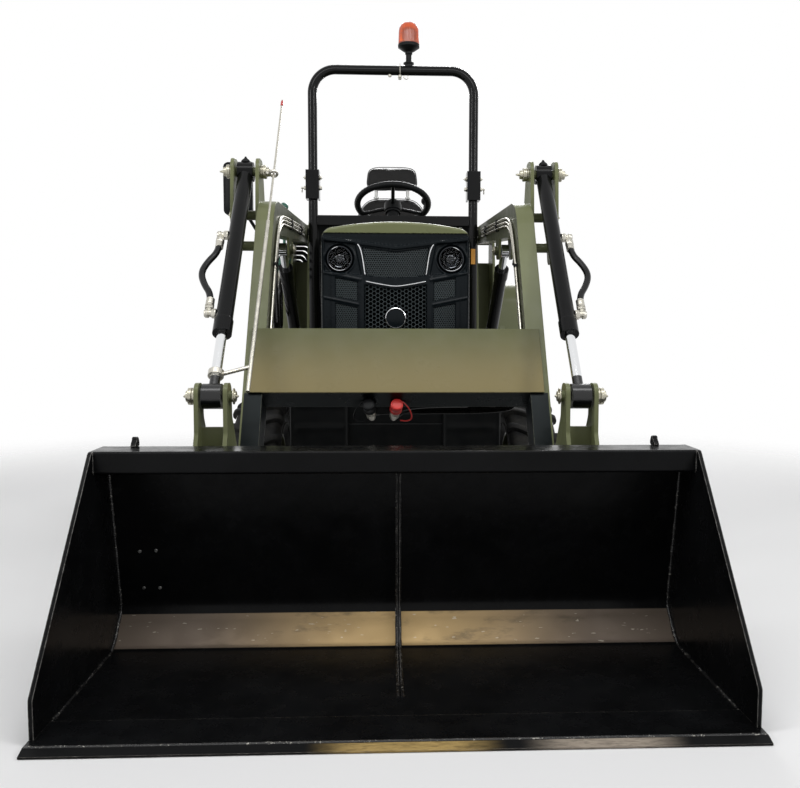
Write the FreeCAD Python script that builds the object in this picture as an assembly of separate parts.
"""Compact tractor with a front loader and bucket, at its real size in millimetres.

Frame: the tractor faces -Y, +X is to the left hand of its driver, +Z is up. The origin lies
on the ground under the middle of the machine's length. Each function makes one sub-part.
"""
import FreeCAD, Part
import math
import os

V = FreeCAD.Vector

# ------------------------------------------------------------------ driving dimensions
# wheels
front_axle_y = -290.0
rear_axle_y = 1205.0
front_tyre_radius = 310.0
front_tyre_width = 180.0
front_track = 1050.0            # between the middles of the two front tyres
front_rim_radius = 178.0
rear_tyre_radius = 550.0
rear_tyre_width = 280.0
rear_track = 1120.0
rear_rim_radius = 330.0
rim_wall = 8.0
hub_radius = 70.0
hub_neck_radius = 45.0         # of the front hubs' inner ends, between the axle's forks
hub_depth = 32.0               # how far a hub reaches inwards from its disc
kingpin_x = 440.0
kingpin_radius = 16.0
spindle_radius = 22.0
steering_arm_length = 150.0
steering_arm_inset = 38.0      # from the kingpin inwards
steering_arm_low = -40.0       # its underside, from the axle's height
steering_arm_depth = 20.0
fork_half_height = 50.0        # from the axle's height to each fork plate
fork_plate = 22.0
rear_hub_radius = 90.0
# engine, gearbox and front frame
engine_width = 340.0
engine_front_y = -470.0
engine_rear_y = 190.0
engine_bottom_z = 520.0
engine_top_z = 1090.0
frame_rail_width = 40.0
frame_half_width = 170.0
frame_rail_depth = 120.0
frame_front_y = -640.0
axle_pivot_z = 340.0
axle_pivot_radius = 26.0
hanger_near = 44.0             # from the axle's middle to the near face of each hanger
hanger_far = 68.0
gearbox_width = 300.0
gearbox_bottom_z = rear_tyre_radius - 120.0    # keeps its depth under the rear axle
gearbox_top_z = 760.0
rear_housing_front_y = 930.0
rear_housing_rear_y = 1380.0
rear_housing_width = 420.0
rear_housing_top_z = 900.0
axle_tube_radius = 85.0
# bonnet
hood_front_y = -665.0
hood_rear_y = 300.0
hood_front_half_width = 262.0
hood_rear_half_width = 285.0
hood_front_top_z = 1276.0
hood_rear_top_z = 1352.0
hood_bottom_z = 800.0
hood_wall = 5.0
hood_shoulder = 20.0           # how far the top's edges lie under its middle
hood_corner = 44.0
grille_depth = 26.0
headlight_radius = 46.0
headlight_x = 197.0
headlight_z = 1147.0
hood_hinge_pin_radius = 10.0
# cowl, steering and operator's place
cowl_rear_y = 520.0
cowl_half_width = 235.0
cowl_top_z = 1330.0
steering_centre = V(0.0, 655.0, 1530.0)
steering_radius = 192.0
steering_rim_radius = 15.0
steering_lean_deg = 24.0       # the column leans back from upright
column_radius = 30.0
hub_low = 52.0                 # from the steering wheel's rim plane to its hub's underside
platform_z = 600.0
platform_thickness = 6.0
seat_gap = 0.3                 # between pieces that rest on each other
platform_front_y = 598.0
platform_rear_y = 900.0
platform_half_width = 401.0
fender_gap = 50.0              # from the tyre's tread to the mudguard's inside
fender_wall = 6.0
fender_inner_x = 395.0
fender_outer_x = 725.0
fender_flat_z = 1150.0
seat_width = 440.0
seat_z = 1080.0
seat_front_y = 800.0
seat_depth = 420.0
seat_back_y = 1215.0
seat_back_top_z = 1836.0
seat_back_split_z = 1664.0
head_pad_low_z = 1694.0
head_pad_half_width = 150.0
seat_back_depth = 84.0
seat_lean = 36.0               # how far back the seat's back leans over its lower pad
# roll bar
rops_y = 300.0
rops_half_width = 368.0        # to the middle of the tube
rops_tube_radius = 21.0
rops_hinge_z = 1595.0
rops_bracket_low = 100.0       # from the hinge down to the bracket's end
rops_bracket_high = 30.0       # from the hinge up to the bracket's end
rops_bracket_half = 33.0       # along the machine
rops_bracket_front = 6.0       # thickness of the bracket's front wall
rops_post_end = 32.0           # from the hinge down to the post's end
rops_top_z = 2078.0            # middle of the top tube
rops_corner_radius = 105.0
rops_base_z = 576.0
rops_crossbar_z = 1381.0        # its underside
rops_crossbar_height = 44.0
rops_crossbar_depth = 24.0
hinge_plate = 8.0
hinge_pin_radius = 8.0
beacon_x = 70.0
beacon_radius = 50.0
beacon_top_z = 2290.0
beacon_stem = 54.0
beacon_cone = 20.0
# loader: pivot points seen from the side (y, z)
pivot_y = 535.0
pivot_z = 1365.0
knee_y = -680.0
knee_z = 1285.0
bucket_pin_y = -1165.0
bucket_pin_z = 450.0
tilt_base_y = -625.0
tilt_base_z = 1448.0
tilt_eye_y = -1265.0
tilt_eye_z = 706.0
lift_base_y = 400.0
lift_base_z = 700.0
lift_eye_y = -250.0
lift_eye_z = 1216.0
# loader: widths
arm_x = 442.0                  # middle of each boom arm
arm_width = 60.0
arm_depth = 118.0
arm_rear_depth = 80.0
arm_rear_boss = 46.0
arm_tip_depth = 96.0
side_gap = 5.0                 # from an arm to the plates on each side of it
tower_plate = 12.0
ear_plate = 12.0
lug_plate = 9.0
cylinder_x = 524.0             # middle of each tilt cylinder
pivot_pin_radius = 25.0
bucket_pin_radius = 20.0
tilt_pin_radius = 16.0
lift_pin_radius = 18.0
running_gap = 0.05             # radial clearance of a pin in its bore
tilt_barrel_radius = 26.0
tilt_rod_radius = 15.0
tilt_eye_radius = 36.0
tilt_eye_width = 54.0
tilt_open_length = 232.0       # from the rod's eye to the barrel's mouth
tilt_rod_length = 780.0
lift_barrel_radius = 26.0
lift_rod_radius = 16.0
lift_eye_radius = 25.0
lift_eye_width = 28.0
lift_open_length = 105.0
lift_rod_length = 690.0
barrel_wall = 5.0
gland_step = 3.0               # how far the gland stands out from the barrel
lift_base_width = 54.0
tower_rear_y = 592.0
crossbeam_y = -1035.0
crossbeam_top_z = 900.0
crossbeam_bottom_z = 705.0
crossbeam_plate = 10.0
crossbeam_half_width = 455.0
crossbeam_tube_radius = 44.0
level_rod_x = -420.0
level_rod_radius = 6.0
level_rod_rise = 34.0          # from the tilt rod's line, square to it
level_clamp = 80.0             # from the tilt rod's eye to the level rod's clamp
# bucket
bucket_half_width = 800.0
bucket_side_plate = 10.0
bucket_skin = 7.0
bucket_lip_y = -1955.0
bucket_side_front_y = -1895.0
bucket_side_step_z = 100.0
bucket_heel_y = -1360.0
bucket_back_low_y = -1272.0
bucket_back_low_z = 92.0
bucket_back_top_y = -1352.0
bucket_rail_front_y = -1480.0
bucket_rail_bottom_z = 518.0
bucket_top_z = 578.0
bucket_ground_gap = 1.0
cutting_edge_depth = 150.0
cutting_edge_step = 40.0       # from the lip to the front edge of the floor plate
bucket_rib_height = 26.0
bucket_rib_thickness = 8.0
carrier_plate_low_z = 130.0
carrier_strip = 12.0           # of the two upright strips against the bucket's back
carrier_strip_low_z = 150.0
carrier_web_low_z = 330.0      # of the web between the two plates of a tilt rod's eye
carrier_web_high = tilt_eye_z - 88.0
carrier_web_y = tilt_eye_y + 3.0
carrier_rail_low_z = 170.0     # of the cross rail between the two pairs of plates
carrier_rail_height = 70.0
carrier_rail_depth = 50.0
# rear linkage, drawbar and drive shaft
link_pivot_y = 1290.0
link_pivot_z = rear_tyre_radius - 130.0
link_pivot_x = 235.0
link_end_y = 1920.0
link_end_z = rear_tyre_radius - 50.0
link_end_x = 340.0
link_ball_radius = 25.0
link_bore_radius = 11.1
link_bar_width = 16.0
link_bar_depth = 60.0
lift_shaft_y = 1300.0
lift_shaft_z = 945.0
lift_shaft_radius = 28.0
lift_cover_half = 200.0
lift_arm_length = 330.0
lift_arm_rise_deg = 8.0
lift_arm_x = 250.0
lift_link_radius = 10.0
pto_y = 1380.0
pto_z = 620.0
pto_radius = 17.4
pto_length = 90.0
drawbar_z = rear_tyre_radius - 210.0
drawbar_end_y = 1700.0
drawbar_bore_radius = 13.0
mirror_centre = V(-716.0, 335.0, 1548.0)
mirror_height = 240.0
valve_y = 420.0
valve_z = 1125.0
valve_width = 66.0
valve_length = 110.0
valve_height = 180.0
mirror_width = 132.0
hose_radius = 10.5
hose_port_height = 24.0        # from the tilt barrel's side to the middle of its elbows
hose_port_high = 322.0         # from the tilt cylinder's base to its upper elbow
hose_elbow_reach = 30.0        # from an elbow's middle to its open end
hose_bow = [(0.0, 0.0), (0.0, 46.0), (29.0, 94.0), (44.0, 142.0), (29.0, 190.0), (0.0, 238.0),
            (0.0, 284.0)]      # (outwards, along the barrel) from the upper elbow's end


# ------------------------------------------------------------------ plain helpers
def block(x0, x1, y0, y1, z0, z1):
    """A box between two corners."""
    return Part.makeBox(x1 - x0, y1 - y0, z1 - z0, V(x0, y0, z0))


def bar(start, end, radius):
    """A round bar from one point to another."""
    line = end - start
    return Part.makeCylinder(radius, line.Length, start, line)


def pin_x(y, z, radius, x0, x1):
    """A round pin along X."""
    return Part.makeCylinder(radius, x1 - x0, V(x0, y, z), V(1, 0, 0))


def pin_y(x, z, radius, y0, y1):
    """A round pin along Y."""
    return Part.makeCylinder(radius, y1 - y0, V(x, y0, z), V(0, 1, 0))


def pin_z(x, y, radius, z0, z1):
    """A round pin along Z."""
    return Part.makeCylinder(radius, z1 - z0, V(x, y, z0), V(0, 0, 1))


def join(shapes):
    """One solid from pieces that touch or overlap."""
    whole = shapes[0]
    if len(shapes) > 1:
        whole = whole.fuse(shapes[1:])
    return whole.removeSplitter()


def both_sides(shape):
    """A piece and its mirror image across the middle plane."""
    return [shape, shape.mirror(V(0, 0, 0), V(1, 0, 0))]


def tangent_length(a, b, c, radius):
    """How far a fillet of this radius reaches from corner b along its two sides."""
    turn = (b - a).getAngle(c - b)
    return radius * math.tan(turn / 2.0)


def rounded_outline(points, radii):
    """A closed wire through points, each corner an arc of its own radius."""
    count = len(points)
    edges = []
    last_end = None
    first_start = None
    for i in range(count):
        a = points[i - 1]
        b = points[i]
        c = points[(i + 1) % count]
        reach = tangent_length(a, b, c, radii[i]) if radii[i] > 0 else 0.0
        start = b + (a - b).normalize() * reach
        end = b + (c - b).normalize() * reach
        if last_end is not None and (start - last_end).Length > 1e-6:
            edges.append(Part.LineSegment(last_end, start).toShape())
        if reach > 1e-6:
            inward = ((a - b).normalize() + (c - b).normalize()).normalize()
            to_centre = math.hypot(radii[i], reach)
            middle = b + inward * (to_centre - radii[i])
            edges.append(Part.Arc(start, middle, end).toShape())
        if first_start is None:
            first_start = start
        last_end = end
    if (first_start - last_end).Length > 1e-6:
        edges.append(Part.LineSegment(last_end, first_start).toShape())
    return Part.Wire(edges)


def side_plate(points, x0, x1, radii=0.0):
    """A plate seen from the side: (y, z) corners pushed along X."""
    if not isinstance(radii, (list, tuple)):
        radii = [radii] * len(points)
    wire = rounded_outline([V(x0, y, z) for y, z in points], radii)
    return Part.Face(wire).extrude(V(x1 - x0, 0, 0))


def front_plate(points, y0, y1, radii=0.0):
    """A plate seen from the front: (x, z) corners pushed along Y."""
    if not isinstance(radii, (list, tuple)):
        radii = [radii] * len(points)
    wire = rounded_outline([V(x, y0, z) for x, z in points], radii)
    return Part.Face(wire).extrude(V(0, y1 - y0, 0))


def flat_plate(points, z0, z1, radii=0.0):
    """A plate seen from above: (x, y) corners pushed along Z."""
    if not isinstance(radii, (list, tuple)):
        radii = [radii] * len(points)
    wire = rounded_outline([V(x, y, z0) for x, y in points], radii)
    return Part.Face(wire).extrude(V(0, 0, z1 - z0))


def band_outline(path, half_depths, radii):
    """Corners and radii of a band along a (y, z) path, with a half depth at each point."""
    count = len(path)
    left = []
    right = []
    left_radii = []
    right_radii = []
    for i in range(count):
        here = V(path[i][0], path[i][1], 0)
        before = here - V(path[i - 1][0], path[i - 1][1], 0) if i else None
        after = V(path[i + 1][0], path[i + 1][1], 0) - here if i < count - 1 else None
        if before is None:
            before = after
        if after is None:
            after = before
        before = before * (1.0 / before.Length)
        after = after * (1.0 / after.Length)
        normal_a = V(-before.y, before.x, 0)
        normal_b = V(-after.y, after.x, 0)
        middle = (normal_a + normal_b).normalize()
        reach = half_depths[i] / middle.dot(normal_a)
        left.append(here + middle * reach)
        right.append(here - middle * reach)
        turn = before.cross(after).z
        inside = max(radii[i] - half_depths[i], 0.0)
        outside = radii[i] + half_depths[i] if radii[i] > 0 else 0.0
        left_radii.append(inside if turn > 0 else outside)
        right_radii.append(outside if turn > 0 else inside)
    points = [(p.x, p.y) for p in left] + [(p.x, p.y) for p in reversed(right)]
    return points, left_radii + list(reversed(right_radii))


def inner_side(points, depth):
    """The (y, z) points of a bent plate's other face, at a depth to the left of its line."""
    found = []
    count = len(points)
    for i in range(count):
        here = V(points[i][0], points[i][1], 0)
        back = V(points[max(i - 1, 0)][0], points[max(i - 1, 0)][1], 0)
        ahead = V(points[min(i + 1, count - 1)][0], points[min(i + 1, count - 1)][1], 0)
        before = (here - back) if i else (ahead - here)
        after = (ahead - here) if i < count - 1 else before
        before = before * (1.0 / before.Length)
        after = after * (1.0 / after.Length)
        normal = V(-before.y, before.x, 0)
        middle = (normal + V(-after.y, after.x, 0)).normalize()
        place = here + middle * (depth / middle.dot(normal))
        found.append((place.x, place.y))
    return found


def tube_path(points, radius, bend):
    """A round bar along straight runs joined by tangent arcs of the bend radius."""
    edges = []
    start = points[0]
    for i in range(1, len(points) - 1):
        a = points[i - 1]
        b = points[i]
        c = points[i + 1]
        reach = tangent_length(a, b, c, bend)
        arc_start = b + (a - b).normalize() * reach
        arc_end = b + (c - b).normalize() * reach
        inward = ((a - b).normalize() + (c - b).normalize()).normalize()
        middle = b + inward * (math.hypot(bend, reach) - bend)
        edges.append(Part.LineSegment(start, arc_start).toShape())
        edges.append(Part.Arc(arc_start, middle, arc_end).toShape())
        start = arc_end
    edges.append(Part.LineSegment(start, points[-1]).toShape())
    wire = Part.Wire(edges)
    ring = Part.Wire([Part.Circle(points[0], points[1] - points[0], radius).toShape()])
    return wire.makePipeShell([ring], True, False)


def hose_path(points, radius):
    """A hose whose every arc is as large as its two runs allow."""
    edges = []
    start = points[0]
    smallest = None
    for i in range(1, len(points) - 1):
        a = points[i - 1]
        b = points[i]
        c = points[i + 1]
        turn = (b - a).getAngle(c - b)
        reach = 0.45 * min((b - a).Length, (c - b).Length)
        bend = reach / math.tan(turn / 2.0)
        smallest = bend if smallest is None else min(smallest, bend)
        arc_start = b + (a - b).normalize() * reach
        arc_end = b + (c - b).normalize() * reach
        inward = ((a - b).normalize() + (c - b).normalize()).normalize()
        middle = b + inward * (math.hypot(bend, reach) - bend)
        edges.append(Part.LineSegment(start, arc_start).toShape())
        edges.append(Part.Arc(arc_start, middle, arc_end).toShape())
        start = arc_end
    edges.append(Part.LineSegment(start, points[-1]).toShape())
    wire = Part.Wire(edges)
    ring = Part.Wire([Part.Circle(points[0], points[1] - points[0], radius).toShape()])
    tube = wire.makePipeShell([ring], True, False)
    ideal = math.pi * radius ** 2 * wire.Length
    print("hose length %.0f smallest arc %.0f volume/ideal %.4f"
          % (wire.Length, smallest, tube.Volume / ideal))
    return tube


def turned_x(profile, y, z, x0=0.0):
    """A ring turned about an X axis from (radius, x) corners."""
    wire = Part.makePolygon([V(x0 + x, y, z + r) for r, x in profile + profile[:1]])
    return Part.Face(wire).revolve(V(x0, y, z), V(1, 0, 0), 360)


# ------------------------------------------------------------------ worked-out places
arm_inner_x = arm_x - arm_width / 2.0
arm_outer_x = arm_x + arm_width / 2.0
inner_plate_x1 = arm_inner_x - side_gap
inner_plate_x0 = inner_plate_x1 - tower_plate
outer_plate_x0 = arm_outer_x + side_gap
outer_plate_x1 = outer_plate_x0 + tower_plate
tilt_outer_ear_x0 = cylinder_x + tilt_barrel_radius + gland_step + side_gap
tilt_outer_ear_x1 = tilt_outer_ear_x0 + ear_plate
front_hub_x = front_track / 2.0
rear_hub_x = rear_track / 2.0
tilt_base = V(cylinder_x, tilt_base_y, tilt_base_z)
tilt_eye = V(cylinder_x, tilt_eye_y, tilt_eye_z)
lift_base = V(arm_x, lift_base_y, lift_base_z)
lift_eye = V(arm_x, lift_eye_y, lift_eye_z)
lift_arm_end = V(0, lift_shaft_y + lift_arm_length * math.cos(math.radians(lift_arm_rise_deg)),
                 lift_shaft_z + lift_arm_length * math.sin(math.radians(lift_arm_rise_deg)))
hose_lower_port = hose_port_high + hose_bow[-1][1] + 2.0 * hose_elbow_reach
hood_hinge_y = hood_rear_y - 14.0
hood_hinge_z = hood_rear_top_z - 34.0


# ------------------------------------------------------------------ chassis
def engine():
    """The engine, one block at its place between the frame rails."""
    half = engine_width / 2.0
    return block(-half, half, engine_front_y, engine_rear_y, engine_bottom_z, engine_top_z)


def transmission():
    """Clutch and gearbox housing, the rear housing and the two axle tubes."""
    half = gearbox_width / 2.0
    box_half = rear_housing_width / 2.0
    flange_x = rear_hub_x - rear_tyre_width * 0.4 - hub_depth - 6.0
    pieces = [
        block(-half, half, engine_rear_y, rear_housing_front_y, gearbox_bottom_z, gearbox_top_z),
        block(-box_half, box_half, rear_housing_front_y, rear_housing_rear_y,
              gearbox_bottom_z - 30.0, rear_housing_top_z),
        pin_x(rear_axle_y, rear_tyre_radius, axle_tube_radius, -flange_x, flange_x),
    ]
    pieces.append(block(-lift_cover_half, lift_cover_half, lift_shaft_y - 60.0,
                        lift_shaft_y + 60.0, rear_housing_top_z - 1.0, lift_shaft_z + 45.0))
    for side in (-1, 1):
        x0 = min(side * (flange_x - 24.0), side * flange_x)
        pieces.append(pin_x(rear_axle_y, rear_tyre_radius, axle_tube_radius + 35.0, x0, x0 + 24.0))
        stub0 = min(side * flange_x, side * (rear_hub_x + 10.0))
        stub_length = rear_hub_x + 10.0 - flange_x
        pieces.append(pin_x(rear_axle_y, rear_tyre_radius, spindle_radius, stub0,
                            stub0 + stub_length))
    housing = join(pieces)
    shaft_hole = pin_y(0.0, pto_z, pto_radius + running_gap, pto_y - 60.0, pto_y + 1.0)
    lift_hole = pin_x(lift_shaft_y, lift_shaft_z, lift_shaft_radius + running_gap, -300.0, 300.0)
    return housing.cut(shaft_hole).cut(lift_hole)


def front_frame():
    """Two rails from the gearbox to the front, tied by the front casting."""
    rails = []
    for side in (-1, 1):
        x0 = side * frame_half_width - (frame_rail_width if side > 0 else 0.0)
        rails.append(block(x0, x0 + frame_rail_width, frame_front_y, engine_rear_y - 40.0,
                           engine_bottom_z - frame_rail_depth, engine_bottom_z))
    half = frame_half_width
    casting = block(-half, half, frame_front_y, frame_front_y + 90.0,
                    engine_bottom_z - frame_rail_depth - 40.0, engine_bottom_z + 40.0)
    support = block(-half, half, hood_front_y + grille_depth + 6.0,
                    frame_front_y + 60.0, engine_bottom_z + 40.0, hood_bottom_z - 12.0)
    pivot = pin_y(0.0, axle_pivot_z, axle_pivot_radius, front_axle_y - hanger_far,
                  front_axle_y + hanger_far)
    hangers = []
    for y in (front_axle_y - hanger_far, front_axle_y + hanger_near):
        hangers.append(block(-half, half, y, y + hanger_far - hanger_near,
                             front_tyre_radius - 10.0, engine_bottom_z - frame_rail_depth + 10.0))
    return join(rails + [casting, support, pivot] + hangers)


def front_axle():
    """The beam that carries the two knuckles, hung on a pin along Y."""
    end_x = kingpin_x - 105.0
    outline = [(-end_x, front_tyre_radius - 40.0), (-90.0, front_tyre_radius - 20.0),
               (90.0, front_tyre_radius - 20.0), (end_x, front_tyre_radius - 40.0),
               (end_x, front_tyre_radius + 40.0), (90.0, front_tyre_radius + 85.0),
               (-90.0, front_tyre_radius + 85.0), (-end_x, front_tyre_radius + 40.0)]
    beam = front_plate(outline, front_axle_y - 40.0, front_axle_y + 40.0, 12.0)
    pieces = [beam]
    outer = fork_half_height + fork_plate
    low = front_tyre_radius - outer
    high = front_tyre_radius + outer
    for side in (-1, 1):
        tip = side * (kingpin_x + 30.0)
        web_in = side * (end_x - 20.0)
        web_out = side * end_x
        y0 = front_axle_y - 32.0
        y1 = front_axle_y + 32.0
        pieces.append(block(min(web_in, tip), max(web_in, tip), y0, y1, low, low + fork_plate))
        pieces.append(block(min(web_in, tip), max(web_in, tip), y0, y1, high - fork_plate, high))
        pieces.append(block(min(web_in, web_out), max(web_in, web_out), y0, y1, low, high))
        pieces.append(pin_z(side * kingpin_x, front_axle_y, kingpin_radius, low, high))
    beam = join(pieces)
    pivot_hole = pin_y(0.0, axle_pivot_z, axle_pivot_radius + running_gap, front_axle_y - 60.0,
                       front_axle_y + 60.0)
    return beam.cut(pivot_hole)


def knuckle(side):
    """A steering knuckle on its kingpin, with the wheel's spindle and the steering arm."""
    x = side * kingpin_x
    reach = side * (front_hub_x + 6.0)
    half = fork_half_height - 1.0
    body = pin_z(x, front_axle_y, 30.0, front_tyre_radius - half, front_tyre_radius + half)
    spindle = pin_x(front_axle_y, front_tyre_radius, spindle_radius, min(x, reach),
                    max(x, reach))
    arm_x0 = x - side * steering_arm_inset
    low = front_tyre_radius + steering_arm_low
    arm = block(arm_x0 - 12.0, arm_x0 + 12.0, front_axle_y, front_axle_y + steering_arm_length,
                low, low + steering_arm_depth)
    root = block(min(x, arm_x0), max(x, arm_x0), front_axle_y, front_axle_y + 24.0, low,
                 low + steering_arm_depth)
    arm = arm.fuse(root)
    end = pin_z(arm_x0, front_axle_y + steering_arm_length, 20.0, low, low + steering_arm_depth)
    hole = pin_z(x, front_axle_y, kingpin_radius + running_gap, front_tyre_radius - 80.0,
                 front_tyre_radius + 80.0)
    return join([body, spindle, arm, end]).cut(hole)


def tie_rod():
    """The rod between the two steering arms, lying just over their ends."""
    z = front_tyre_radius + steering_arm_low + steering_arm_depth + 0.5
    y = front_axle_y + steering_arm_length
    end_x = kingpin_x - steering_arm_inset
    rod = bar(V(-end_x, y, z + 14.0), V(end_x, y, z + 14.0), 11.0)
    return join([rod] + [pin_z(side * end_x, y, 18.0, z, z + 28.0) for side in (-1, 1)])


def tyre(side, hub_x, axle_y, radius, width, rim_radius):
    """A tyre with round shoulders, turned about its axle."""
    half = width / 2.0
    shoulder = width * 0.2
    centre = V(side * hub_x, axle_y, radius)
    corners = [(rim_radius, -half * 0.8), (rim_radius + shoulder, -half), (radius - shoulder, -half),
               (radius, -half + shoulder), (radius, half - shoulder), (radius - shoulder, half),
               (rim_radius + shoulder, half), (rim_radius, half * 0.8)]
    points = [V(centre.x + x, centre.y, centre.z + r) for r, x in corners]
    radii = [0.0, shoulder, shoulder * 0.8, shoulder * 0.8, shoulder * 0.8, shoulder * 0.8,
             shoulder, 0.0]
    face = Part.Face(rounded_outline(points, radii))
    return face.revolve(centre, V(1, 0, 0), 360)


def rim(side, hub_x, axle_y, radius, width, rim_radius, hub, neck, disc_x, holes, pitch):
    """A wheel's rim: the tyre's seat, a dished disc and a hub with its bolt holes."""
    half = width * 0.4
    inner = rim_radius - rim_wall
    face = hub_x + disc_x
    seat = turned_x([(rim_radius, -half), (rim_radius, half), (inner, half), (inner, -half)],
                    axle_y, radius, side * hub_x)
    disc = pin_x(axle_y, radius, inner + 1.0, min(side * face, side * (face + rim_wall)),
                 max(side * face, side * (face + rim_wall)))
    hub_in = side * (face - hub_depth)
    hub_out = side * (face + rim_wall + 16.0)
    centre = pin_x(axle_y, radius, neck, min(hub_in, hub_out), max(hub_in, hub_out))
    flange = pin_x(axle_y, radius, hub, min(side * face, hub_out), max(side * face, hub_out))
    whole = join([seat, disc, centre, flange])
    bore = pin_x(axle_y, radius, spindle_radius + running_gap,
                 side * hub_x - half * 2.0, side * hub_x + half * 2.0)
    whole = whole.cut(bore)
    for i in range(holes):
        angle = 2.0 * math.pi * (i + 0.5) / holes
        y = axle_y + pitch * math.sin(angle)
        z = radius + pitch * math.cos(angle)
        x0 = side * face - 50.0
        whole = whole.cut(pin_x(y, z, 8.0, x0, x0 + 100.0))
    return whole


# ------------------------------------------------------------------ bonnet
def hood_section(y, half, top_z, bottom_z):
    """An arched cross section of the bonnet at one place along Y."""
    edge_z = top_z - hood_shoulder
    corner = hood_corner
    left_low = V(-half, y, bottom_z)
    left_high = V(-half, y, edge_z - corner)
    right_high = V(half, y, edge_z - corner)
    right_low = V(half, y, bottom_z)
    left_top = V(-half + corner, y, edge_z)
    right_top = V(half - corner, y, edge_z)
    left_mid = V(-half + corner * 0.293, y, edge_z - corner * 0.293)
    right_mid = V(half - corner * 0.293, y, edge_z - corner * 0.293)
    return Part.Wire([
        Part.LineSegment(left_low, left_high).toShape(),
        Part.Arc(left_high, left_mid, left_top).toShape(),
        Part.Arc(left_top, V(0, y, top_z), right_top).toShape(),
        Part.Arc(right_top, right_mid, right_high).toShape(),
        Part.LineSegment(right_high, right_low).toShape(),
        Part.LineSegment(right_low, left_low).toShape(),
    ])


def hood_body(inset, y0, y1, bottom_z):
    """The bonnet's volume, smaller all round by the inset."""
    length = hood_rear_y - hood_front_y
    sections = []
    for y in (y0, y1):
        share = (y - hood_front_y) / length
        half = hood_front_half_width + (hood_rear_half_width - hood_front_half_width) * share
        top = hood_front_top_z + (hood_rear_top_z - hood_front_top_z) * share
        sections.append(hood_section(y, half - inset, top - inset, bottom_z))
    return Part.makeLoft(sections, True, True)


def hood():
    """The bonnet's shell with its hinge lugs at the rear."""
    shell = hood_body(0.0, hood_front_y + grille_depth, hood_rear_y, hood_bottom_z)
    inside = hood_body(hood_wall, hood_front_y - 10.0, hood_rear_y + 10.0, hood_bottom_z - 20.0)
    shell = shell.cut(inside)
    lugs = []
    for side in (-1, 1):
        x0 = side * 150.0 - 8.0
        lugs.append(side_plate([(hood_hinge_y - 14.0, hood_hinge_z - 16.0),
                                (hood_hinge_y + 12.0, hood_hinge_z - 16.0),
                                (hood_hinge_y + 12.0, hood_hinge_z + 60.0),
                                (hood_hinge_y - 14.0, hood_hinge_z + 60.0)], x0, x0 + 16.0))
    outside = hood_body(1.0, hood_front_y, hood_rear_y, hood_bottom_z)
    lugs = [lug.common(outside) for lug in lugs]
    whole = join([shell] + lugs)
    hole = pin_x(hood_hinge_y, hood_hinge_z, hood_hinge_pin_radius + running_gap, -200.0, 200.0)
    return whole.cut(hole)


def grille():
    """The bonnet's front panel, with the two round lamp openings."""
    panel = hood_body(0.0, hood_front_y, hood_front_y + grille_depth, hood_bottom_z - 40.0)
    recess = hood_body(18.0, hood_front_y - 1.0, hood_front_y + 8.0, hood_bottom_z)
    panel = panel.cut(recess)
    for side in (-1, 1):
        panel = panel.cut(pin_y(side * headlight_x, headlight_z, headlight_radius,
                                hood_front_y - 5.0, hood_front_y + grille_depth + 5.0))
    return panel


def headlights():
    """Two round lamps that fill the openings in the front panel."""
    lamps = []
    for side in (-1, 1):
        lamp = pin_y(side * headlight_x, headlight_z, headlight_radius - 0.3,
                     hood_front_y + 2.0, hood_front_y + grille_depth + 30.0)
        lamps.append(lamp)
    return Part.makeCompound(lamps)


# ------------------------------------------------------------------ operator's place
def dash_cowl():
    """The cowl behind the bonnet, with the bonnet's hinge and the steering column."""
    front = hood_rear_y + 8.0
    outline = [(front, gearbox_top_z), (cowl_rear_y - 60.0, gearbox_top_z),
               (cowl_rear_y, 1120.0), (cowl_rear_y, cowl_top_z - 60.0),
               (cowl_rear_y - 90.0, cowl_top_z), (front + 30.0, cowl_top_z),
               (front + 28.0, hood_hinge_z - 18.0), (front, hood_hinge_z - 48.0)]
    body = side_plate(outline, -cowl_half_width, cowl_half_width, [0, 0, 40, 40, 40, 10, 8, 8])
    lean = math.radians(steering_lean_deg)
    axis = V(0, math.sin(lean), math.cos(lean))
    column = bar(steering_centre - axis * 420.0, steering_centre - axis * (hub_low + 0.3),
                 column_radius)
    arm = block(-60.0, 60.0, hood_hinge_y - 14.0, front + 2.0, hood_hinge_z - 80.0,
                hood_hinge_z - 50.0)
    cheek = block(-60.0, 60.0, hood_hinge_y - 14.0, hood_hinge_y + 12.0, hood_hinge_z - 80.0,
                  hood_hinge_z - 2.0)
    pin = pin_x(hood_hinge_y, hood_hinge_z, hood_hinge_pin_radius, -165.0, 165.0)
    return join([body, column, arm, cheek, pin])


def steering_wheel():
    """A rim on three spokes and a hub, square to the column."""
    lean = math.radians(steering_lean_deg)
    axis = V(0, math.sin(lean), math.cos(lean))
    ring = Part.makeTorus(steering_radius - steering_rim_radius, steering_rim_radius,
                          steering_centre, axis)
    hub = Part.makeCylinder(38.0, hub_low + 8.0, steering_centre - axis * hub_low, axis)
    pieces = [ring, hub]
    across = V(1, 0, 0)
    forward = axis.cross(across)
    for i in range(3):
        angle = math.radians(120.0 * i - 90.0)
        out = across * math.cos(angle) + forward * math.sin(angle)
        pieces.append(bar(steering_centre - axis * 18.0,
                          steering_centre + out * (steering_radius - steering_rim_radius), 9.0))
    return join(pieces)


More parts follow.
